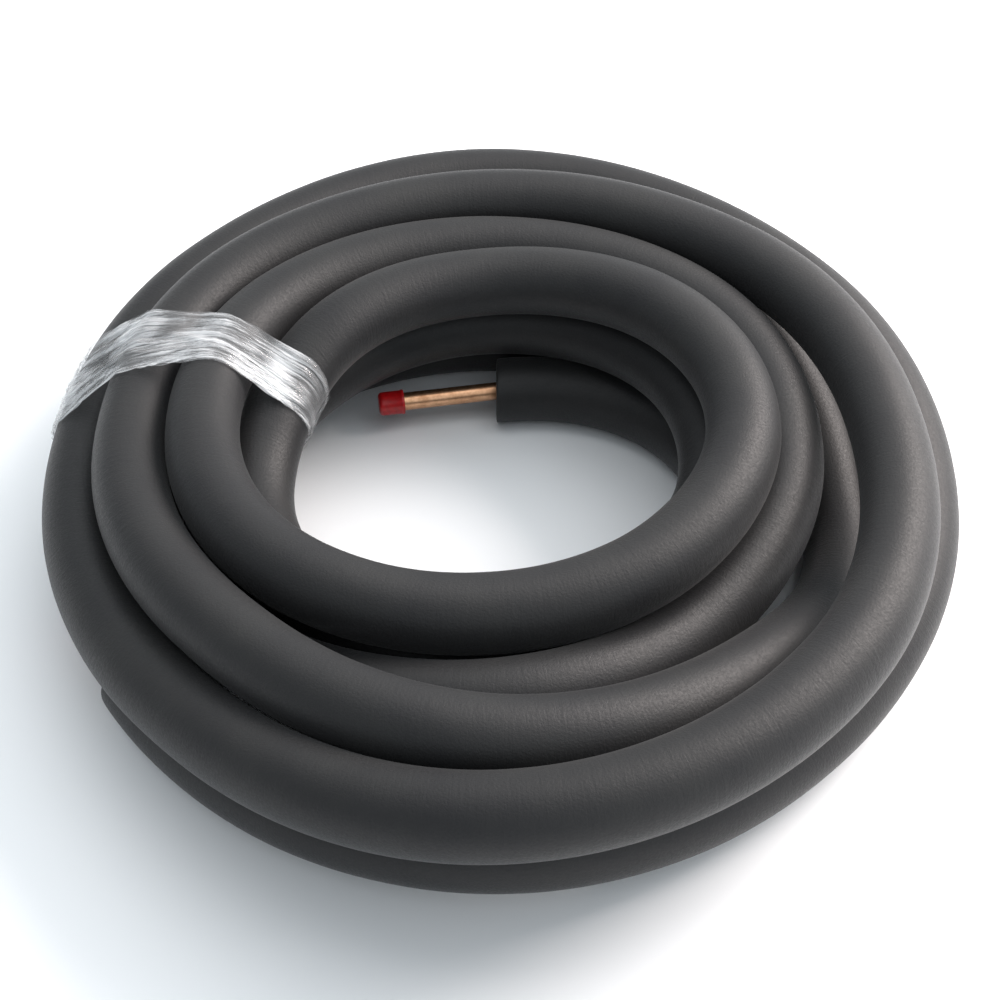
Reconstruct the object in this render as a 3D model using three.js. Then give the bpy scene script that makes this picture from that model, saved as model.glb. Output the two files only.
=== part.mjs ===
// Mini split line set: two soft copper refrigerant lines, each inside a black closed-cell
// foam sleeve, coiled flat on the floor as one bundle and held by a single stretch film band.
// Millimetres, +Z up. The front of the coil faces -Y, and the film band sits on its left side.
import * as THREE from 'three';

// Insulation sleeves
const FOAM_OD = 35;
const TURN_GAP = 0.3;
const FOAM_SIDES = 12;

// Soft copper lines: 3/8 inch for suction, 1/4 inch for liquid
const SUCTION_OD = 9.52;
const LIQUID_OD = 6.35;
const COPPER_WALL = 0.8;
const COPPER_SIDES = 6;
const BORE_GAP = 0.3;
const STUB_LENGTH = 62;

// Plastic caps pressed over the bare copper ends
const CAP_WALL = 1.2;
const CAP_GRIP = 12;
const CAP_GAP = 0.3;
const CAP_SIDES = 16;

// Stretch film band
const FILM_WALL = 0.4;
const FILM_GAP = 0.3;
const FILM_WIDTH = 40;
const FILM_CLOCK = 0.943;

// The coil: a level floor turn has its centre one eye radius and half a sleeve from the axis
const EYE_RADIUS = 75;
const SECTIONS_PER_TURN = 24;
const STATIONS_PER_TURN = 8;

// How each line is laid. A row is one turn, counter-clockwise seen from above, with a station
// every eighth of a turn: left, front-left, front, front-right, right, back-right, back and
// back-left. A station is [out, up], counted in sleeve widths from the eye and from the floor.
const LIQUID_LAY = [
  [[2.84, 0], [2.6, 0.1], [2.83, 0.46], [2.66, 0.18], [3.24, 0.37], [4.12, 0.75], [4.66, 1.03], [3.74, 1.08]],
  [[2.97, 0.92], [2.8, 1.2], [3.37, 1.87], [2.95, 1.9], [2.52, 1.87], [2.74, 1.84], [2.83, 1.82], [2.71, 1.68]],
  [[2.2, 1.6], [2, 1.84], [2.34, 1.87], [2, 1.11], [2.14, 0], [2.66, 0.76], [2.44, 0.76], [2.44, 0.76]],
];
const LIQUID_START = 1 / 12;
const LIQUID_END = 2 + 10 / 12;

const SUCTION_LAY = [
  [[1.88, 0], [1.88, 0], [1.88, 0], [1.88, 0], [1.88, 0], [1.84, 0], [1.7, 0], [1.78, 0.07]],
  [[2.27, 0.085], [1.55, 0.85], [1.4, 1.36], [0.92, 0.97], [1.27, 1.26], [1.76, 1.51], [1.84, 1.63], [1.68, 1.74]],
  [[1.22, 1.85], [0.9, 1.94], [0.46, 1.82], [0.42, 1.9], [0.6, 2.07], [0.68, 2.08], [0.79, 1.81], [0.62, 1.71]],
  [[0.59, 0.89], [0.48, 0.94], [0.45, 0.8], [-0.1, 0.87], [0.3, 0.94], [0.77, 1.06], [1.1, 0.83], [0.98, 0.72]],
  [[1.22, 0.1], [0.88, 0], [1.15, 0], [0.65, 0], [0.71, 0], [0.82, 0], [0.45, 0], [-0.03, 0]],
];
const SUCTION_START = 8 / 12;
const SUCTION_END = 4 + 9 / 12;

const turnPitch = FOAM_OD + TURN_GAP;
const floorTurnRadius = EYE_RADIUS + FOAM_OD / 2;
const floorTurnHeight = (FOAM_OD / 2) * Math.cos(Math.PI / FOAM_SIDES);
const up = new THREE.Vector3(0, 0, 1);

// Directions at a place on the clock face, given in turns from the left side
const outward = (turns) =>
  new THREE.Vector3(-Math.cos(turns * 2 * Math.PI), -Math.sin(turns * 2 * Math.PI), 0);
const onward = (turns) =>
  new THREE.Vector3(Math.sin(turns * 2 * Math.PI), -Math.cos(turns * 2 * Math.PI), 0);

// The centre line of a laid line. Its sections stand upright in planes through the coil's
// axis, so turns that lie side by side keep their gap all the way round.
class LaidLine extends THREE.Curve {
  constructor(lay, start, end) {
    super();
    this.stations = new THREE.SplineCurve(lay.flat().map(([out, rise]) => new THREE.Vector2(out, rise)));
    this.lastStation = this.stations.points.length - 1;
    this.start = start;
    this.end = end;
    this.steps = Math.round((end - start) * SECTIONS_PER_TURN);
  }

  turnsAt(t) {
    return this.start + (this.end - this.start) * t;
  }

  centreAt(turns) {
    const station = this.stations.getPoint((turns * STATIONS_PER_TURN) / this.lastStation);
    const centre = outward(turns).multiplyScalar(floorTurnRadius + station.x * turnPitch);
    centre.z = floorTurnHeight + Math.max(station.y, 0) * turnPitch;
    return centre;
  }

  getPoint(t) {
    return this.centreAt(this.turnsAt(t));
  }

  // The way the copper points where the sleeve ends: side -1 at its start, +1 at its end
  endDirection(side) {
    const turns = side < 0 ? this.start : this.end;
    const nudge = 0.001;
    return this.centreAt(turns + nudge).sub(this.centreAt(turns - nudge)).normalize().multiplyScalar(side);
  }

  getSpacedPoints(steps) {
    return Array.from({ length: steps + 1 }, (_, i) => this.getPoint(i / steps));
  }

  computeFrenetFrames(steps) {
    const places = Array.from({ length: steps + 1 }, (_, i) => this.turnsAt(i / steps));
    return {
      tangents: places.map(onward),
      normals: places.map(() => up.clone()),
      binormals: places.map(outward),
    };
  }
}

// The copper follows its sleeve and runs straight out of both ends as a bare stub
class CopperRun extends LaidLine {
  stubEnd(side) {
    return this.centreAt(side < 0 ? this.start : this.end).addScaledVector(this.endDirection(side), STUB_LENGTH);
  }

  getSpacedPoints(steps) {
    return [this.stubEnd(-1), ...super.getSpacedPoints(steps - 2), this.stubEnd(1)];
  }

  // The cut ends are square to the stub
  computeFrenetFrames(steps) {
    const frames = super.computeFrenetFrames(steps - 2);
    for (const side of [-1, 1]) {
      const add = side < 0 ? 'unshift' : 'push';
      const tangent = this.endDirection(side).multiplyScalar(side);
      const normal = outward(side < 0 ? this.start : this.end).cross(tangent).normalize();
      frames.tangents[add](tangent);
      frames.normals[add](normal);
      frames.binormals[add](tangent.clone().cross(normal));
    }
    return frames;
  }
}

// A regular polygon with one flat side facing the floor
const polygonPoints = (radius, sides) =>
  Array.from({ length: sides }, (_, i) => {
    const angle = ((i + 0.5) * 2 * Math.PI) / sides;
    return new THREE.Vector2(radius * Math.cos(angle), radius * Math.sin(angle));
  });

function tubeSection(outerRadius, outerSides, boreRadius, boreSides) {
  const section = new THREE.Shape(polygonPoints(outerRadius, outerSides));
  section.holes.push(new THREE.Path(polygonPoints(boreRadius, boreSides)));
  return section;
}

function sleeveMesh(name, path, copperOd) {
  const section = tubeSection(FOAM_OD / 2, FOAM_SIDES, copperOd / 2 + BORE_GAP, COPPER_SIDES);
  const shape = new THREE.ExtrudeGeometry(section, { steps: path.steps, extrudePath: path });
  const foam = new THREE.MeshStandardMaterial({ color: 0x2c2c2e, roughness: 0.75, metalness: 0 });
  return named(name, shape, foam);
}

function copperMesh(name, path, copperOd) {
  const section = tubeSection(copperOd / 2, COPPER_SIDES, copperOd / 2 - COPPER_WALL, COPPER_SIDES);
  const shape = new THREE.ExtrudeGeometry(section, { steps: path.steps + 2, extrudePath: path });
  const copper = new THREE.MeshStandardMaterial({ color: 0xc88a63, roughness: 0.35, metalness: 1 });
  return named(name, shape, copper);
}

// A cup turned about its own axis, pushed over the copper until its floor meets the tube's end
function capMesh(name, path, side, copperOd) {
  const boreRadius = (copperOd / 2 + CAP_GAP) / Math.cos(Math.PI / CAP_SIDES);
  const outerRadius = boreRadius + CAP_WALL;
  const floorInside = CAP_GAP;
  const floorOutside = floorInside + CAP_WALL;
  const profile = [
    [0, floorInside],
    [boreRadius, floorInside],
    [boreRadius, -CAP_GRIP],
    [outerRadius, -CAP_GRIP],
    [outerRadius, floorOutside],
    [0, floorOutside],
  ].map(([radius, along]) => new THREE.Vector2(radius, along));
  const shape = new THREE.LatheGeometry(profile, CAP_SIDES);
  const plastic = new THREE.MeshStandardMaterial({ color: 0xb3161a, roughness: 0.35, metalness: 0 });
  const cap = named(name, shape, plastic);
  cap.position.copy(path.stubEnd(side));
  cap.quaternion.setFromUnitVectors(new THREE.Vector3(0, 1, 0), path.endDirection(side));
  return cap;
}

// Counter-clockwise outline around a cloud of flat points
function convexOutline(points) {
  const sorted = [...points].sort((a, b) => a.x - b.x || a.y - b.y);
  const chain = (list) => {
    const kept = [];
    for (const p of list) {
      while (kept.length > 1) {
        const [a, b] = kept.slice(-2);
        if ((b.x - a.x) * (p.y - a.y) - (b.y - a.y) * (p.x - a.x) > 0) break;
        kept.pop();
      }
      kept.push(p);
    }
    return kept.slice(0, -1);
  };
  return [...chain(sorted), ...chain([...sorted].reverse())];
}

// The long edges of a sleeve's facets, or of a larger tube laid the same way
function facetEdges(path, radius) {
  const corners = polygonPoints(radius, FOAM_SIDES);
  const places = Array.from({ length: path.steps + 1 }, (_, i) => path.turnsAt(i / path.steps));
  const rings = places.map((turns) =>
    corners.map(({ x, y }) => path.centreAt(turns).addScaledVector(up, x).addScaledVector(outward(turns), y)),
  );
  return rings.slice(1).flatMap((ring, i) => ring.map((end, j) => new THREE.Line3(rings[i][j], end)));
}

// The film is pulled tight round every turn that passes through the band
function filmBandMesh(name, paths) {
  const across = outward(FILM_CLOCK);
  const along = onward(FILM_CLOCK);
  const halfWidth = FILM_WIDTH / 2;
  const outlineAt = (clearance) => {
    const points = [];
    for (const edge of paths.flatMap((path) => facetEdges(path, FOAM_OD / 2 + clearance))) {
      const first = edge.start.dot(along);
      const last = edge.end.dot(along);
      if (edge.start.dot(across) < 0 || last < -halfWidth || first > halfWidth) continue;
      for (const side of [-halfWidth, halfWidth]) {
        const share = THREE.MathUtils.clamp((side - first) / (last - first), 0, 1);
        const point = edge.at(share, new THREE.Vector3());
        points.push(new THREE.Vector2(point.z, point.dot(across)));
      }
    }
    return convexOutline(points);
  };
  const section = new THREE.Shape(outlineAt(FILM_GAP + FILM_WALL));
  section.holes.push(new THREE.Path(outlineAt(FILM_GAP)));
  const shape = new THREE.ExtrudeGeometry(section, { depth: FILM_WIDTH, bevelEnabled: false });
  const film = new THREE.MeshStandardMaterial({ color: 0xe6eaee, roughness: 0.15, transparent: true, opacity: 0.35 });
  const band = named(name, shape, film);
  band.setRotationFromMatrix(new THREE.Matrix4().makeBasis(up, across, along));
  band.position.copy(along).multiplyScalar(-halfWidth);
  return band;
}

function named(name, geometry, material) {
  const mesh = new THREE.Mesh(geometry, material);
  mesh.name = name;
  return mesh;
}

const suctionSleeve = new LaidLine(SUCTION_LAY, SUCTION_START, SUCTION_END);
const liquidSleeve = new LaidLine(LIQUID_LAY, LIQUID_START, LIQUID_END);
const suctionCopper = new CopperRun(SUCTION_LAY, SUCTION_START, SUCTION_END);
const liquidCopper = new CopperRun(LIQUID_LAY, LIQUID_START, LIQUID_END);

const coil = new THREE.Group();
coil.add(
  sleeveMesh('suction_line_insulation', suctionSleeve, SUCTION_OD),
  sleeveMesh('liquid_line_insulation', liquidSleeve, LIQUID_OD),
  copperMesh('suction_line_copper', suctionCopper, SUCTION_OD),
  copperMesh('liquid_line_copper', liquidCopper, LIQUID_OD),
  capMesh('suction_cap_in_eye', suctionCopper, 1, SUCTION_OD),
  capMesh('suction_cap_under_coil', suctionCopper, -1, SUCTION_OD),
  capMesh('liquid_cap_under_coil', liquidCopper, -1, LIQUID_OD),
  capMesh('liquid_cap_by_band', liquidCopper, 1, LIQUID_OD),
  filmBandMesh('stretch_film_band', [suctionSleeve, liquidSleeve]),
);

// The origin is on the floor, under the middle of the coil's box
coil.updateMatrixWorld(true);
const box = new THREE.Box3().setFromObject(coil, true);
const middle = box.getCenter(new THREE.Vector3());
coil.position.set(-middle.x, -middle.y, -box.min.z);
coil.updateMatrixWorld(true);

export default coil;
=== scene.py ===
# %% [markdown]
# # A mini split line set in Blender
# Two soft copper refrigerant lines lie coiled on a pale floor. Each one is inside a black foam
# sleeve, and a band of clear stretch film holds the bundle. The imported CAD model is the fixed
# frame, and every visible piece is built around it with its finish.

# %% Load the frame
import math

import bmesh
import bpy
from mathutils import Matrix, Vector, noise


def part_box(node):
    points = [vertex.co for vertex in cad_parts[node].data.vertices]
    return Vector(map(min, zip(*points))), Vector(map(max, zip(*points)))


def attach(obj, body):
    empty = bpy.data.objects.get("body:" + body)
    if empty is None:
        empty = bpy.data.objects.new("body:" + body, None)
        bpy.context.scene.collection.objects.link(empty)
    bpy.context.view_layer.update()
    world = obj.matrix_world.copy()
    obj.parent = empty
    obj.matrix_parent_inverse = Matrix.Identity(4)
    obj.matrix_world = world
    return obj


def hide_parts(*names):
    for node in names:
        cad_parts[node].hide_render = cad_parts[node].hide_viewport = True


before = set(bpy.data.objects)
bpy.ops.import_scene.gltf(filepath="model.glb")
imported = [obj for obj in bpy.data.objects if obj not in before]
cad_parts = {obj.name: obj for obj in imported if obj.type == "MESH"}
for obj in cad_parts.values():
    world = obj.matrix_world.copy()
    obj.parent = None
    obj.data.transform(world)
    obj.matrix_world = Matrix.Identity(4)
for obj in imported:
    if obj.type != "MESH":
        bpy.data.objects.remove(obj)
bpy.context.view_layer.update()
print("CAD nodes:", ", ".join(sorted(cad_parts)))

# %% [markdown]
# ## The lay of the lines
# The coil is described the way it is wound. A floor turn lies one eye radius and half a sleeve
# from the axis, and each station moves the line out and up by so many sleeve widths. A smooth
# curve through the stations gives the centre line. A spline object could hold it too, but a
# plain function also answers where the line is at any angle, which the film band needs.

# %% Real sizes
MM = 0.001
FOAM_OD = 35 * MM
TURN_GAP = 0.3 * MM
FOAM_SIDES = 12
SUCTION_OD = 9.52 * MM
LIQUID_OD = 6.35 * MM
COPPER_WALL = 0.8 * MM
BORE_GAP = 0.3 * MM
STUB_LENGTH = 62 * MM
EYE_RADIUS = 75 * MM
SECTIONS_PER_TURN = 24
STATIONS_PER_TURN = 8

FOAM_RADIUS = FOAM_OD / 2
TURN_PITCH = FOAM_OD + TURN_GAP
FLOOR_TURN_RADIUS = EYE_RADIUS + FOAM_RADIUS
FLAT_RADIUS = FOAM_RADIUS * math.cos(math.pi / FOAM_SIDES)

# %% Stations, one row for each turn: left, front-left, front, front-right, right, and so on
LIQUID_LAY = [
    [
        (2.84, 0), (2.6, 0.1), (2.83, 0.46), (2.66, 0.18),
        (3.24, 0.37), (4.12, 0.75), (4.66, 1.03), (3.74, 1.08),
    ],
    [
        (2.97, 0.92), (2.8, 1.2), (3.37, 1.87), (2.95, 1.9),
        (2.52, 1.87), (2.74, 1.84), (2.83, 1.82), (2.71, 1.68),
    ],
    [
        (2.2, 1.6), (2, 1.84), (2.34, 1.87), (2, 1.11),
        (2.14, 0), (2.66, 0.76), (2.44, 0.76), (2.44, 0.76),
    ],
]
LIQUID_TURNS = (1 / 12, 2 + 10 / 12)

SUCTION_LAY = [
    [(1.88, 0), (1.88, 0), (1.88, 0), (1.88, 0), (1.88, 0), (1.84, 0), (1.7, 0), (1.78, 0.07)],
    [
        (2.27, 0.085), (1.55, 0.85), (1.4, 1.36), (0.92, 0.97),
        (1.27, 1.26), (1.76, 1.51), (1.84, 1.63), (1.68, 1.74),
    ],
    [
        (1.22, 1.85), (0.9, 1.94), (0.46, 1.82), (0.42, 1.9),
        (0.6, 2.07), (0.68, 2.08), (0.79, 1.81), (0.62, 1.71),
    ],
    [
        (0.59, 0.89), (0.48, 0.94), (0.45, 0.8), (-0.1, 0.87),
        (0.3, 0.94), (0.77, 1.06), (1.1, 0.83), (0.98, 0.72),
    ],
    [(1.22, 0.1), (0.88, 0), (1.15, 0), (0.65, 0), (0.71, 0), (0.82, 0), (0.45, 0), (-0.03, 0)],
]
SUCTION_TURNS = (8 / 12, 4 + 9 / 12)

# %% Directions on the clock face, in turns from the left side
UP = Vector((0, 0, 1))


def outward(turns):
    return Vector((-math.cos(turns * math.tau), -math.sin(turns * math.tau), 0))


def onward(turns):
    return Vector((math.sin(turns * math.tau), -math.cos(turns * math.tau), 0))


def spline(a, b, c, d, t):
    """A smooth curve from b to c, which bends towards its neighbours a and d"""
    return 0.5 * (2 * b + (c - a) * t + (2 * a - 5 * b + 4 * c - d) * t**2 + (3 * b - a - 3 * c + d) * t**3)


class LaidLine:
    """One line of the set, from the turn where its sleeve starts to the turn where it ends"""

    def __init__(self, lay, turns, copper_od):
        self.stations = [Vector(station) for row in lay for station in row]
        self.start, self.end = turns
        self.copper_radius = copper_od / 2
        self.axis = Vector((0, 0, 0))

    def centre(self, turns):
        last = len(self.stations) - 1
        place = min(max(turns * STATIONS_PER_TURN, 0), last - 1e-6)
        first = int(place)
        near = [self.stations[min(max(first + step, 0), last)] for step in (-1, 0, 1, 2)]
        out, rise = spline(*near, place - first)
        point = outward(turns) * (FLOOR_TURN_RADIUS + out * TURN_PITCH)
        point.z = FLAT_RADIUS + max(rise, 0) * TURN_PITCH
        return self.axis + point

    def heading(self, side):
        """The way the bare copper points out of the sleeve: side -1 at its start, 1 at its end"""
        turns = self.start if side < 0 else self.end
        nudge = 0.001
        return (self.centre(turns + nudge) - self.centre(turns - nudge)).normalized() * side

    def stub_end(self, side):
        turns = self.start if side < 0 else self.end
        return self.centre(turns) + self.heading(side) * STUB_LENGTH


suction = LaidLine(SUCTION_LAY, SUCTION_TURNS, SUCTION_OD)
liquid = LaidLine(LIQUID_LAY, LIQUID_TURNS, LIQUID_OD)

# %% [markdown]
# The CAD model stands with the middle of its box over the origin, so the coil's axis is a
# little off it. The axis is found by laying the same outer line here and comparing the middle
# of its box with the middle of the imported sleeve's box.

# %% Find the coil's axis in the frame
section_count = round((liquid.end - liquid.start) * SECTIONS_PER_TURN)
section_turns = [liquid.start + k / SECTIONS_PER_TURN for k in range(section_count + 1)]
rim = [liquid.centre(t) + outward(t) * side * FLAT_RADIUS for t in section_turns for side in (-1, 1)]
low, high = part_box("liquid_line_insulation")
axis = Vector((0, 0, 0))
for k in range(2):
    laid_middle = (min(p[k] for p in rim) + max(p[k] for p in rim)) / 2
    axis[k] = (low[k] + high[k]) / 2 - laid_middle
suction.axis = axis
liquid.axis = axis
print(f"The coil's axis stands at {axis.x / MM:.2f}, {axis.y / MM:.2f} mm")

# %% [markdown]
# ## Helpers for colour and nodes
# Colours are picked as sRGB hex values, because that is what a photograph shows, and one
# function turns them into the linear values that the shaders work with.

# %% Colour, node and material helpers
def linear(hex_colour):
    channels = [int(hex_colour[k : k + 2], 16) / 255 for k in (0, 2, 4)]
    return [c / 12.92 if c <= 0.04045 else ((c + 0.055) / 1.055) ** 2.4 for c in channels] + [1]


def add_node(tree, kind, settings=None, inputs=None):
    """Adds a node. An input is a value, or the output socket that feeds it."""
    node = tree.nodes.new(kind)
    for name, value in (settings or {}).items():
        setattr(node, name, value)
    for name, value in (inputs or {}).items():
        if isinstance(value, bpy.types.NodeSocket):
            tree.links.new(value, node.inputs[name])
        else:
            node.inputs[name].default_value = value
    return node


def new_material(name):
    material = bpy.data.materials.new(name)
    material.use_nodes = True
    tree = material.node_tree
    return material, tree, tree.nodes["Principled BSDF"]


def set_ramp(node, stops):
    """Gives a colour ramp its stops, each a place and a grey or a colour"""
    elements = node.color_ramp.elements
    while len(elements) < len(stops):
        elements.new(0.5)
    for element, (place, colour) in zip(elements, stops):
        element.position = place
        element.color = colour if isinstance(colour, list) else (colour, colour, colour, 1)


# %% [markdown]
# ## Skins rolled from a grid
# A hose could be a curve with a bevel, but a curve has no wall, no cut end and no say over its
# skin. Here a flat grid is rolled up instead: one way of the grid runs along the line, over the
# cut end and back through the bore, and the other way runs round it. The grid keeps a UV map in
# real metres, so a pattern can follow the line however it bends.

# %% Roll a grid into a closed skin
def rolled_skin(name, profile, sides, place):
    """profile is a closed list of stations along the wall, and place(station, around) is a point.
    A station starts with its distance along the line and its radius, in metres."""
    bm = bmesh.new()
    uv_map = bm.loops.layers.uv.new("skin")
    columns = len(profile)
    bmesh.ops.create_grid(bm, x_segments=columns, y_segments=sides, size=0.5)
    for face in bm.faces:
        for loop in face.loops:
            station = profile[round((loop.vert.co.x + 0.5) * columns) % columns]
            around = loop.vert.co.y + 0.5
            loop[uv_map].uv = (station[0], around * math.tau * FOAM_RADIUS)
    for vert in bm.verts:
        station = profile[round((vert.co.x + 0.5) * columns) % columns]
        vert.co = place(station, vert.co.y + 0.5)
    bmesh.ops.remove_doubles(bm, verts=bm.verts, dist=0.01 * MM)
    bmesh.ops.recalc_face_normals(bm, faces=bm.faces)
    return finished(name, bm)


def finished(name, bm):
    mesh = bpy.data.meshes.new(name)
    bm.to_mesh(mesh)
    bm.free()
    mesh.shade_smooth()
    piece = bpy.data.objects.new(name, mesh)
    bpy.context.scene.collection.objects.link(piece)
    print(f"{name}: {len(mesh.vertices)} vertices")
    return piece


def dress(piece, node, material):
    """Gives a piece its finish, hangs it on the root body and hides its CAD node"""
    piece.data.materials.append(material)
    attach(piece, "root")
    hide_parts(node)


def subdivide(piece, levels):
    modifier = piece.modifiers.new("Smooth", "SUBSURF")
    modifier.levels = levels
    modifier.render_levels = levels


# %% [markdown]
# ## The foam sleeves
# The insulation is closed-cell elastomeric foam, extruded as a soft tube with a thin skin. It
# is a little uneven, it flattens where it lies on the floor, and its ends are cut square with a
# knife, which leaves a slightly rounded edge. The unevenness is real geometry, made with a slow
# noise on the radius, because it shows along the silhouette where bump would not.

# %% Foam skin
SKIN_STEP = 1 / 120
BORE_STEP = 1 / 24
FOAM_AROUND = 32
CUT_EDGE = 1.3 * MM
LIP_SHARE = 0.3
SLOW_WAVE = 55 * MM
SLOW_DEPTH = 0.35 * MM
QUICK_WAVE = 14 * MM
QUICK_DEPTH = 0.1 * MM
FLOOR_LIFT = 0.1 * MM


def steps_between(first, last, step):
    count = math.ceil(abs(last - first) / step)
    return [first + (last - first) * k / count for k in range(count + 1)]


def sleeve_profile(line):
    """Stations over the outer skin, round one cut end, back through the bore and round the other"""
    bore = line.copper_radius + BORE_GAP
    inset = CUT_EDGE / (math.tau * FLOOR_TURN_RADIUS)
    soft = FOAM_RADIUS - CUT_EDGE * LIP_SHARE
    cut = FOAM_RADIUS - CUT_EDGE
    skin_turns = steps_between(line.start + inset, line.end - inset, SKIN_STEP)
    outside = [(turns, FOAM_RADIUS) for turns in skin_turns]
    far_end = [
        (line.end - inset * LIP_SHARE, soft),
        (line.end, cut),
        (line.end, (cut + bore) / 2),
        (line.end, bore),
    ]
    bore_turns = steps_between(line.end - inset, line.start + inset, BORE_STEP)
    inside = [(turns, bore) for turns in bore_turns]
    near_end = [
        (line.start, bore),
        (line.start, (cut + bore) / 2),
        (line.start, cut),
        (line.start + inset * LIP_SHARE, soft),
    ]
    return outside + far_end + inside + near_end


def measured(line, profile):
    """Adds each station's distance along the line"""
    travelled = [0.0]
    fine = steps_between(line.start, line.end, SKIN_STEP / 2)
    for before, after in zip(fine, fine[1:]):
        travelled.append(travelled[-1] + (line.centre(after) - line.centre(before)).length)
    share = (len(fine) - 1) / (line.end - line.start)
    return [(travelled[round((turns - line.start) * share)], radius, turns) for turns, radius in profile]


def uneven(point):
    """How far the skin sinks at a point: never outwards, so that neighbouring turns stay clear"""
    slow = noise.noise(point / SLOW_WAVE) * SLOW_DEPTH
    quick = noise.noise(point / QUICK_WAVE) * QUICK_DEPTH
    return min(slow + quick, 0)


def sleeve_point(line, station, around):
    _, radius, turns = station
    angle = around * math.tau - math.pi / 2
    ray = outward(turns) * math.cos(angle) + UP * math.sin(angle)
    centre = line.centre(turns)
    on_skin = radius > FOAM_RADIUS / 2
    if on_skin:
        radius += uneven(centre + ray * radius)
    point = centre + ray * radius
    point.z = max(point.z, FLOOR_LIFT)
    return point


def foam_sleeve(name, line):
    profile = measured(line, sleeve_profile(line))
    sleeve = rolled_skin(
        name,
        profile,
        FOAM_AROUND,
        lambda station, around: sleeve_point(line, station, around),
    )
    subdivide(sleeve, 1)
    print(f"{name}: {max(station[0] for station in profile):.2f} m along its centre line")
    return sleeve


# %% [markdown]
# The skin of this foam is matte and nearly black. Up close it has a fine orange-peel grain and
# faint creases across the line where it bends, and it carries a little grey dust that shows at
# grazing angles. The grain and creases are bump, because they are far finer than the mesh. The
# creases read the UV map, so they cross the line wherever it goes, and the grain reads Object
# coordinates, which have no seam.

# %% Black elastomeric foam
GRAIN_SIZE = 1.1 * MM
CREASE_ALONG = 2.2 * MM
CREASE_AROUND = 16 * MM
SCUFF_SIZE = 45 * MM


def elastomeric_foam():
    material, tree, shader = new_material("black_elastomeric_foam")
    place = add_node(tree, "ShaderNodeTexCoord")
    grain = add_node(
        tree,
        "ShaderNodeTexNoise",
        inputs={"Vector": place.outputs["Object"], "Scale": 1 / GRAIN_SIZE, "Detail": 3.0, "Roughness": 0.6},
    )
    stretched = add_node(
        tree,
        "ShaderNodeMapping",
        inputs={"Vector": place.outputs["UV"], "Scale": (1 / CREASE_ALONG, 1 / CREASE_AROUND, 1)},
    )
    creases = add_node(
        tree,
        "ShaderNodeTexNoise",
        inputs={"Vector": stretched.outputs["Vector"], "Scale": 1.0, "Detail": 2.0, "Distortion": 0.6},
    )
    scuffs = add_node(
        tree,
        "ShaderNodeTexNoise",
        inputs={"Vector": place.outputs["Object"], "Scale": 1 / SCUFF_SIZE, "Detail": 5.0, "Roughness": 0.65},
    )
    shade = add_node(tree, "ShaderNodeValToRGB", inputs={"Fac": scuffs.outputs["Fac"]})
    set_ramp(shade, [(0.3, linear("18181a")), (0.72, linear("222222"))])
    gloss = add_node(
        tree,
        "ShaderNodeMapRange",
        inputs={
            "Value": grain.outputs["Fac"],
            "From Min": 0.3,
            "From Max": 0.7,
            "To Min": 0.45,
            "To Max": 0.62,
        },
    )
    fine = add_node(
        tree,
        "ShaderNodeBump",
        inputs={"Height": grain.outputs["Fac"], "Strength": 0.5, "Distance": 0.32 * MM},
    )
    bump = add_node(
        tree,
        "ShaderNodeBump",
        inputs={
            "Height": creases.outputs["Fac"],
            "Strength": 0.3,
            "Distance": 0.4 * MM,
            "Normal": fine.outputs["Normal"],
        },
    )
    tree.links.new(shade.outputs["Color"], shader.inputs["Base Color"])
    tree.links.new(gloss.outputs["Result"], shader.inputs["Roughness"])
    tree.links.new(bump.outputs["Normal"], shader.inputs["Normal"])
    shader.inputs["Specular IOR Level"].default_value = 0.32
    shader.inputs["Sheen Weight"].default_value = 0.06
    shader.inputs["Sheen Roughness"].default_value = 0.5
    return material


foam = elastomeric_foam()
suction_sleeve = foam_sleeve("suction_foam_sleeve", suction)
dress(suction_sleeve, "suction_line_insulation", foam)
liquid_sleeve = foam_sleeve("liquid_foam_sleeve", liquid)
dress(liquid_sleeve, "liquid_line_insulation", foam)

# %% [markdown]
# ## The copper lines
# Soft-drawn copper tube runs through each sleeve and stands out of both ends as a bare stub.
# The tube is a real one with its wall. Inside the sleeve nobody sees it, so its stations are
# far apart there, and they are close on the stubs.

# %% Copper tubes
COPPER_AROUND = 24
STUB_STEPS = 6


def copper_profile(line, radius):
    near_stub = [(-1 + k / STUB_STEPS, radius, line.start) for k in range(STUB_STEPS)]
    inside = [(0, radius, turns) for turns in steps_between(line.start, line.end, BORE_STEP / 2)]
    far_stub = [((k + 1) / STUB_STEPS, radius, line.end) for k in range(STUB_STEPS)]
    return near_stub + inside + far_stub


def copper_point(line, station, around):
    """A station here is the share of the stub, minus before the sleeve, the radius and the turn"""
    share, radius, turns = station
    side = -1 if share < 0 else 1
    angle = around * math.tau
    sleeved = outward(turns) * math.cos(angle) + UP * math.sin(angle)
    along = line.heading(side) * side
    raised = outward(turns).cross(along).normalized()
    square = along.cross(raised) * math.cos(angle) + raised * math.sin(angle)
    ray = sleeved.lerp(square, abs(share))
    return line.centre(turns) + line.heading(side) * abs(share) * STUB_LENGTH + ray * radius


def copper_tube(name, line):
    outside = copper_profile(line, line.copper_radius)
    inside = copper_profile(line, line.copper_radius - COPPER_WALL)
    return rolled_skin(
        name,
        outside + inside[::-1],
        COPPER_AROUND,
        lambda station, around: copper_point(line, station, around),
    )


# %% [markdown]
# Soft copper comes off the mill bright and then dulls with handling. The eye sees a warm
# metal with fine lengthwise drawing marks, a soft highlight and darker patches of tarnish.

# %% Soft-drawn copper
DRAW_MARK = 0.5 * MM
TARNISH_SIZE = 9 * MM


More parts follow.
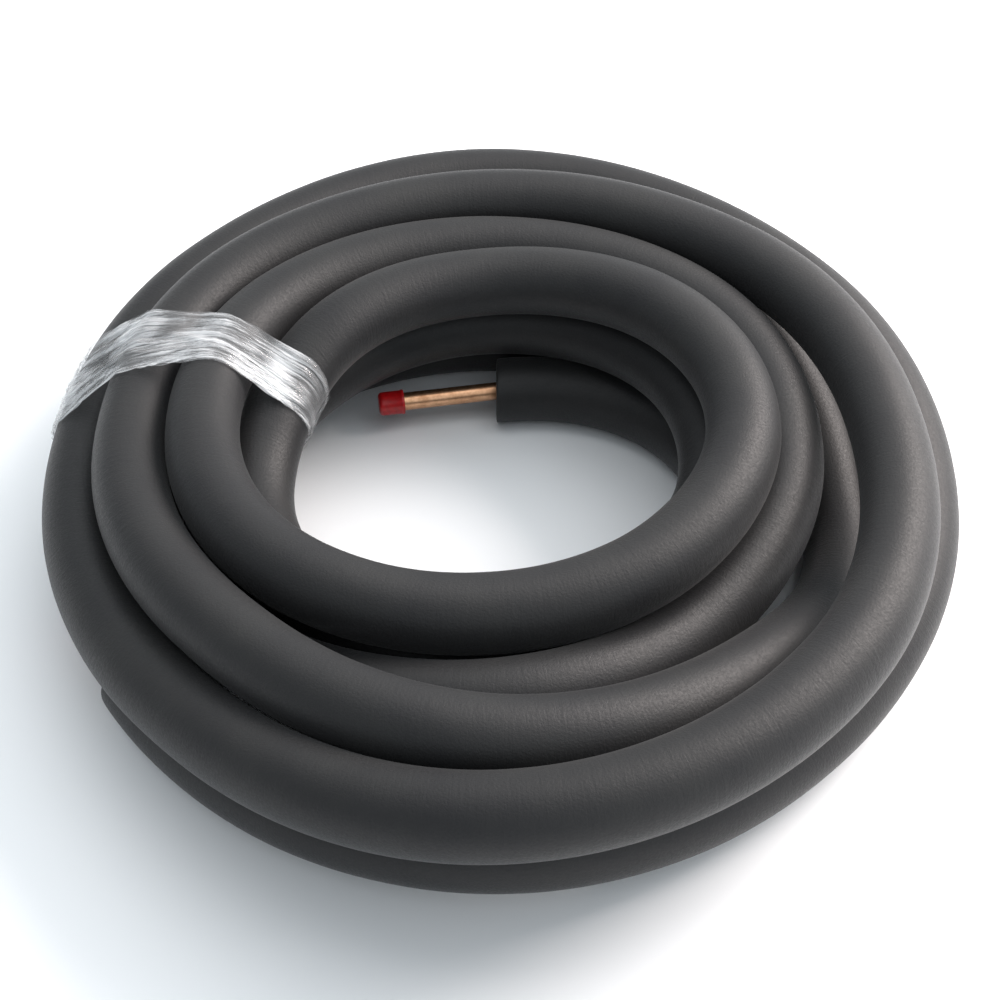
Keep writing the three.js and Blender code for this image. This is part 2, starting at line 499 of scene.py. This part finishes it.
def drawn_copper():
    material, tree, shader = new_material("soft_drawn_copper")
    place = add_node(tree, "ShaderNodeTexCoord")
    tarnish = add_node(
        tree,
        "ShaderNodeTexNoise",
        inputs={
            "Vector": place.outputs["Object"],
            "Scale": 1 / TARNISH_SIZE,
            "Detail": 6.0,
            "Roughness": 0.7,
        },
    )
    shade = add_node(tree, "ShaderNodeValToRGB", inputs={"Fac": tarnish.outputs["Fac"]})
    set_ramp(shade, [(0.3, linear("b98460")), (0.6, linear("ecbb94"))])
    marks = add_node(
        tree,
        "ShaderNodeTexNoise",
        inputs={"Vector": place.outputs["Object"], "Scale": 1 / DRAW_MARK, "Detail": 2.0},
    )
    gloss = add_node(
        tree,
        "ShaderNodeMapRange",
        inputs={
            "Value": tarnish.outputs["Fac"],
            "From Min": 0.3,
            "From Max": 0.7,
            "To Min": 0.42,
            "To Max": 0.28,
        },
    )
    bump = add_node(
        tree,
        "ShaderNodeBump",
        inputs={"Height": marks.outputs["Fac"], "Strength": 0.2, "Distance": 0.05 * MM},
    )
    tree.links.new(shade.outputs["Color"], shader.inputs["Base Color"])
    tree.links.new(gloss.outputs["Result"], shader.inputs["Roughness"])
    tree.links.new(bump.outputs["Normal"], shader.inputs["Normal"])
    shader.inputs["Metallic"].default_value = 1.0
    return material


copper = drawn_copper()
dress(copper_tube("suction_copper_tube", suction), "suction_line_copper", copper)
dress(copper_tube("liquid_copper_tube", liquid), "liquid_line_copper", copper)

# %% [markdown]
# ## The red end caps
# Soft plastic caps keep dirt and moisture out of the tube. Each one is moulded with a thin wall,
# a rounded closed end and a small lip at its mouth. Its wall is drawn once as a section and
# spun about its axis, which is how such a round part is best made.

# %% Spin a cap
CAP_GRIP = 12 * MM
CAP_WALL = 1.2 * MM
CAP_GAP = 0.3 * MM
CAP_LIP = 0.35 * MM
CAP_ROUND = 2.2 * MM
CAP_AROUND = 40


def cap_section(tube_radius):
    """Half of the cap's wall, as points of radius and place along the tube from its end"""
    bore = tube_radius + CAP_GAP
    outer = bore + CAP_WALL
    top = CAP_GAP + CAP_WALL
    corner = [
        (outer - CAP_ROUND * (1 - math.cos(a)), top - CAP_ROUND * (1 - math.sin(a)))
        for a in (0, math.pi / 8, math.pi / 4, math.pi * 3 / 8, math.pi / 2)
    ]
    mouth = [
        (bore, -CAP_GRIP + CAP_LIP),
        (bore + CAP_LIP, -CAP_GRIP),
        (outer, -CAP_GRIP),
        (outer + CAP_LIP, -CAP_GRIP + CAP_LIP),
        (outer + CAP_LIP, -CAP_GRIP + CAP_LIP * 4),
        (outer, -CAP_GRIP + CAP_LIP * 5),
    ]
    return [(0, CAP_GAP), (bore - CAP_LIP, CAP_GAP), (bore, 0)] + mouth + corner + [(0, top)]


def end_cap(name, line, side):
    bm = bmesh.new()
    points = [bm.verts.new((radius, 0, along)) for radius, along in cap_section(line.copper_radius)]
    edges = [bm.edges.new(pair) for pair in zip(points, points[1:])]
    bmesh.ops.spin(
        bm,
        geom=points + edges,
        cent=(0, 0, 0),
        axis=(0, 0, 1),
        angle=math.tau,
        steps=CAP_AROUND,
        use_merge=True,
    )
    bmesh.ops.remove_doubles(bm, verts=bm.verts, dist=0.01 * MM)
    bmesh.ops.recalc_face_normals(bm, faces=bm.faces)
    turn = line.heading(side).to_track_quat("Z", "Y").to_matrix().to_4x4()
    bmesh.ops.transform(bm, matrix=Matrix.Translation(line.stub_end(side)) @ turn, verts=bm.verts)
    return finished(name, bm)


# %% [markdown]
# The caps are soft polyethylene, injection moulded in red. Such a plastic is waxy rather than
# glassy, so its gloss is soft and a little light gets under the surface.

# %% Soft red polyethylene
CAP_MOTTLE = 2.5 * MM


def red_polyethylene():
    """A waxy moulded plastic: a soft highlight, a little light inside it, and faint mottling"""
    material, tree, shader = new_material("red_polyethylene")
    place = add_node(tree, "ShaderNodeTexCoord")
    mottle = add_node(
        tree,
        "ShaderNodeTexNoise",
        inputs={"Vector": place.outputs["Object"], "Scale": 1 / CAP_MOTTLE, "Detail": 3.0},
    )
    shade = add_node(tree, "ShaderNodeValToRGB", inputs={"Fac": mottle.outputs["Fac"]})
    set_ramp(shade, [(0.3, linear("930a0f")), (0.7, linear("b81418"))])
    bump = add_node(
        tree,
        "ShaderNodeBump",
        inputs={"Height": mottle.outputs["Fac"], "Strength": 0.15, "Distance": 0.15 * MM},
    )
    tree.links.new(shade.outputs["Color"], shader.inputs["Base Color"])
    tree.links.new(bump.outputs["Normal"], shader.inputs["Normal"])
    shader.inputs["Roughness"].default_value = 0.34
    shader.inputs["Subsurface Weight"].default_value = 0.15
    shader.inputs["Subsurface Scale"].default_value = 1 * MM
    return material


red = red_polyethylene()
dress(end_cap("red_cap_in_eye", suction, 1), "suction_cap_in_eye", red)
dress(end_cap("red_cap_suction_start", suction, -1), "suction_cap_under_coil", red)
dress(end_cap("red_cap_liquid_start", liquid, -1), "liquid_cap_under_coil", red)
dress(end_cap("red_cap_liquid_end", liquid, 1), "liquid_cap_by_band", red)

# %% [markdown]
# ## The stretch film band
# Stretch film is wound several times round the bundle and pulled tight, so it spans straight
# from crest to crest and gathers into creases along its length. On the underside it bunches up
# and gets narrower. Cloth simulation could crease it, but the pull decides its shape, so each
# column of a grid is laid round the outline of the turns at its own place, and noise stretched
# along the wrap raises the creases. The band runs a little askew and flares over the outer turn.

# %% The outline that tight film takes round the turns
FILM_CLOCK = 0.943
FILM_WIDTH = 40 * MM
FILM_REACH = 46 * MM
FILM_CLEAR = 0.35 * MM
OUTLINE_POINTS = 24


def turns_at(clock):
    """Every place where a sleeve passes a direction of the clock face"""
    for line in (suction, liquid):
        whole = math.floor(line.start)
        for turn in range(whole, math.ceil(line.end) + 1):
            if line.start <= turn + clock <= line.end:
                yield line.centre(turn + clock)


def convex_outline(points):
    """Counter-clockwise outline round flat points"""
    points = sorted(set(points))

    def chain(ordered):
        kept = []
        for p in ordered:
            while len(kept) > 1:
                (ax, ay), (bx, by) = kept[-2:]
                if (bx - ax) * (p[1] - ay) - (by - ay) * (p[0] - ax) > 0:
                    break
                kept.pop()
            kept.append(p)
        return kept[:-1]

    return chain(points) + chain(points[::-1])


def film_outline(clock):
    """The outline in the upright plane at a direction: pairs of distance out and height"""
    radius = FOAM_RADIUS + FILM_CLEAR
    circle = [k * math.tau / OUTLINE_POINTS for k in range(OUTLINE_POINTS)]
    cloud = []
    for centre in turns_at(clock):
        out = (centre - axis).dot(outward(clock))
        cloud += [(out + radius * math.cos(a), centre.z + radius * math.sin(a)) for a in circle]
    return convex_outline(cloud)


def spaced(outline, count):
    """Points at even spacing round an outline, from its lowest point"""
    start = min(range(len(outline)), key=lambda k: outline[k][1])
    loop = [Vector(p) for p in outline[start:] + outline[: start + 1]]
    travelled = [0.0]
    for before, after in zip(loop, loop[1:]):
        travelled.append(travelled[-1] + (after - before).length)
    points = []
    edge = 0
    for k in range(count):
        wanted = travelled[-1] * k / count
        while travelled[edge + 1] < wanted:
            edge += 1
        share = (wanted - travelled[edge]) / (travelled[edge + 1] - travelled[edge])
        points.append(loop[edge].lerp(loop[edge + 1], share))
    return points, travelled[-1]


# %% [markdown]
# Two layers of film are laid, each with its own creases. A layer has a ridge wherever its noise
# passes through zero, and noise stretched along the wrap makes those ridges run with the pull.

# %% Film layers
FILM_ROUND = 360
FILM_ACROSS = 72
FILM_NARROW = 0.45
FILM_SKEW = (-11 * MM, 12 * MM)
FILM_FLARE = 9 * MM
CREASE_WIDTH = 3.2 * MM
CREASE_RUN = 60 * MM
CREASE_HEIGHT = 1.3 * MM
FINE_CREASES = 2.7
FINE_SHARE = 0.22
RIDGE_SLOPE = 2.2
LAYER_SHIFTS = (0.0, 0.35 * MM)
EDGE_WANDER = 1.8 * MM
EDGE_RUN = 45 * MM
BAND_RADIUS = 170 * MM


def underside_share(k):
    """0 over the top of the bundle and 1 at the lowest point of the wrap"""
    return (0.5 + 0.5 * math.cos(k / FILM_ROUND * math.tau)) ** 3


def film_layer(bm, uv_map, columns, length, shift):
    """One layer of film. shift moves its noise, so that no two layers crease alike."""
    made = bmesh.ops.create_grid(bm, x_segments=FILM_ROUND, y_segments=FILM_ACROSS, size=0.5)["verts"]
    faces = {face for vert in made for face in vert.link_faces}
    for face in faces:
        for loop in face.loops:
            u, v = loop.vert.co.x + 0.5, loop.vert.co.y + 0.5
            loop[uv_map].uv = (u * length, v * FILM_WIDTH + shift)
    for vert in made:
        k = round((vert.co.x + 0.5) * FILM_ROUND) % FILM_ROUND
        v = vert.co.y + 0.5
        vert.co = film_point(columns, length, k, v, shift)
    bmesh.ops.remove_doubles(bm, verts=made, dist=0.001 * MM)


def film_point(columns, length, k, v, shift):
    """k counts round the wrap, and v runs across it from its back edge to its front edge"""
    run = k / FILM_ROUND * length
    loop_place = k / FILM_ROUND * math.tau
    round_trip = Vector((math.cos(loop_place), math.sin(loop_place))) * length / math.tau
    wander = noise.noise(Vector((*(round_trip / EDGE_RUN), shift / MM))) * EDGE_WANDER
    middle = columns[len(columns) // 2][0]
    inmost, outmost = min(p.x for p in middle), max(p.x for p in middle)
    outness = (middle[k].x - inmost) / (outmost - inmost)
    width = FILM_WIDTH * (1 - FILM_NARROW * underside_share(k)) + FILM_FLARE * outness**4
    skew = FILM_SKEW[0] + (FILM_SKEW[1] - FILM_SKEW[0]) * outness
    across = (v - 0.5) * width + wander + skew
    place = (across / FILM_REACH / 2 + 0.5) * (len(columns) - 1)
    first = min(max(int(place), 0), len(columns) - 2)
    (near, near_clock), (far, far_clock) = columns[first], columns[first + 1]
    share = place - first
    flat = near[k].lerp(far[k], share)
    clock = near_clock + (far_clock - near_clock) * share
    crease_at = Vector((*(round_trip / CREASE_RUN), across / CREASE_WIDTH + shift / MM))
    ridge = 1 - abs(noise.noise(crease_at)) * RIDGE_SLOPE
    fine = noise.noise(crease_at * FINE_CREASES)
    lift = max(ridge, 0) ** 2 * CREASE_HEIGHT + (fine + 0.5) * FINE_SHARE * CREASE_HEIGHT
    neighbour = near[(k + 2) % FILM_ROUND] - near[k - 2]
    away = Vector((neighbour.y, -neighbour.x)).normalized()
    flat = flat + away * (lift + abs(shift))
    point = axis + outward(clock) * flat.x
    point.z = max(flat.y, FLOOR_LIFT)
    return point


def film_band(name):
    half = FILM_REACH / BAND_RADIUS / math.tau
    clocks = [FILM_CLOCK + half * (2 * k / FILM_ACROSS - 1) for k in range(FILM_ACROSS + 1)]
    columns = []
    for clock in clocks:
        points, length = spaced(film_outline(clock), FILM_ROUND)
        columns.append((points, clock))
    bm = bmesh.new()
    uv_map = bm.loops.layers.uv.new("skin")
    for shift in LAYER_SHIFTS:
        film_layer(bm, uv_map, columns, length, shift)
    bmesh.ops.recalc_face_normals(bm, faces=bm.faces)
    return finished(name, bm)


# %% [markdown]
# Polyethylene stretch film is clear, but bunched layers scatter light. Its finish is one glossy
# surface whose alpha follows streaks along the wrap, so dark foam shows between milky ridges.
# A mix with a transparent shader would do too. Alpha keeps it in one shader, which exports well.

# %% Clear polyethylene stretch film
STREAK_ALONG = 70 * MM
STREAK_ACROSS = 1.2 * MM
PATCH_SIZE = 30 * MM


def stretch_film():
    """Thin clear film: mostly see-through, milky where layers bunch, with sharp white glints"""
    material, tree, shader = new_material("clear_stretch_film")
    place = add_node(tree, "ShaderNodeTexCoord")
    stretched = add_node(
        tree,
        "ShaderNodeMapping",
        inputs={"Vector": place.outputs["UV"], "Scale": (1 / STREAK_ALONG, 1 / STREAK_ACROSS, 1)},
    )
    streaks = add_node(
        tree,
        "ShaderNodeTexNoise",
        inputs={"Vector": stretched.outputs["Vector"], "Scale": 1.0, "Detail": 4.0, "Roughness": 0.6},
    )
    patches = add_node(
        tree,
        "ShaderNodeTexNoise",
        inputs={"Vector": place.outputs["Object"], "Scale": 1 / PATCH_SIZE, "Detail": 2.0},
    )
    both = add_node(
        tree,
        "ShaderNodeMath",
        {"operation": "MULTIPLY"},
        {0: streaks.outputs["Fac"], 1: patches.outputs["Fac"]},
    )
    milk = add_node(
        tree,
        "ShaderNodeMapRange",
        inputs={
            "Value": both.outputs["Value"],
            "From Min": 0.22,
            "From Max": 0.42,
            "To Min": 0.06,
            "To Max": 0.75,
        },
    )
    bump = add_node(
        tree,
        "ShaderNodeBump",
        inputs={"Height": streaks.outputs["Fac"], "Strength": 1.0, "Distance": 0.6 * MM},
    )
    tree.links.new(milk.outputs["Result"], shader.inputs["Alpha"])
    tree.links.new(bump.outputs["Normal"], shader.inputs["Normal"])
    shader.inputs["Base Color"].default_value = linear("f2f4f6")
    shader.inputs["Roughness"].default_value = 0.18
    shader.inputs["IOR"].default_value = 1.5
    shader.inputs["Coat Weight"].default_value = 1.0
    shader.inputs["Coat Roughness"].default_value = 0.05
    return material


film = stretch_film()
dress(film_band("clear_film_band"), "stretch_film_band", film)

# %% [markdown]
# ## Floor, light and camera
# The set lies on a seamless white floor. One broad soft light hangs over it, and a stronger one
# stands at the right, which is why the right side of the coil is lighter and the floor at the
# left falls off to a cool grey. The room's own light also fades towards the left. The plain
# Standard view lets the floor burn out to white, as it does in product pictures.

# %% Floor
FLOOR_SIZE = 8.0


def floor_paint():
    material, tree, shader = new_material("white_floor")
    place = add_node(tree, "ShaderNodeTexCoord")
    cloud = add_node(tree, "ShaderNodeTexNoise", inputs={"Vector": place.outputs["Object"], "Scale": 2.0})
    shade = add_node(tree, "ShaderNodeValToRGB", inputs={"Fac": cloud.outputs["Fac"]})
    set_ramp(shade, [(0.3, linear("eff1f3")), (0.7, linear("f3f4f5"))])
    tree.links.new(shade.outputs["Color"], shader.inputs["Base Color"])
    shader.inputs["Roughness"].default_value = 0.55
    return material


bm = bmesh.new()
bmesh.ops.create_grid(bm, x_segments=1, y_segments=1, size=FLOOR_SIZE / 2)
floor = finished("studio_floor", bm)
floor.data.materials.append(floor_paint())


# %% Lights
def softbox(name, size, place, aim, power, colour):
    light = bpy.data.lights.new(name, "AREA")
    light.shape = "RECTANGLE"
    light.size, light.size_y = size
    light.energy = power
    light.color = linear(colour)[:3]
    lamp = bpy.data.objects.new(name, light)
    lamp.location = place
    lamp.rotation_euler = (Vector(aim) - Vector(place)).to_track_quat("-Z", "Y").to_euler()
    bpy.context.scene.collection.objects.link(lamp)


softbox("overhead_softbox", (2.0, 1.6), (0.1, 0.4, 1.5), (0, 0, 0), 12, "ffffff")
softbox("right_softbox", (1.1, 0.9), (1.1, 0.55, 0.95), (0.1, 0, 0.05), 42, "fff4ef")
world = bpy.data.worlds.new("soft_room")
world.use_nodes = True
room = world.node_tree
direction = add_node(room, "ShaderNodeTexCoord")
parts = add_node(room, "ShaderNodeSeparateXYZ", inputs={"Vector": direction.outputs["Generated"]})
side = add_node(
    room,
    "ShaderNodeMapRange",
    inputs={"Value": parts.outputs["X"], "From Min": -0.8, "From Max": 0.8, "To Min": 0.65, "To Max": 1.35},
)
room.links.new(side.outputs["Result"], room.nodes["Background"].inputs["Strength"])
room.nodes["Background"].inputs["Color"].default_value = linear("e6edf2")
bpy.context.scene.world = world
bpy.context.scene.view_settings.view_transform = "Standard"

# %% Camera, at the photograph's place: above and in front of the coil, looking down at it
CAMERA_FROM_AXIS = Vector((2.0, -566.4, 593.3)) * MM
CAMERA_PITCH = 44.29
LENS = 59.35

camera = bpy.data.cameras.new("photo_camera")
camera.lens = LENS
camera.sensor_width = 36
camera.clip_start = 0.01
viewer = bpy.data.objects.new("photo_camera", camera)
viewer.location = axis + CAMERA_FROM_AXIS
viewer.rotation_euler = (math.radians(90 - CAMERA_PITCH), 0, 0)
bpy.context.scene.collection.objects.link(viewer)
bpy.context.scene.camera = viewer
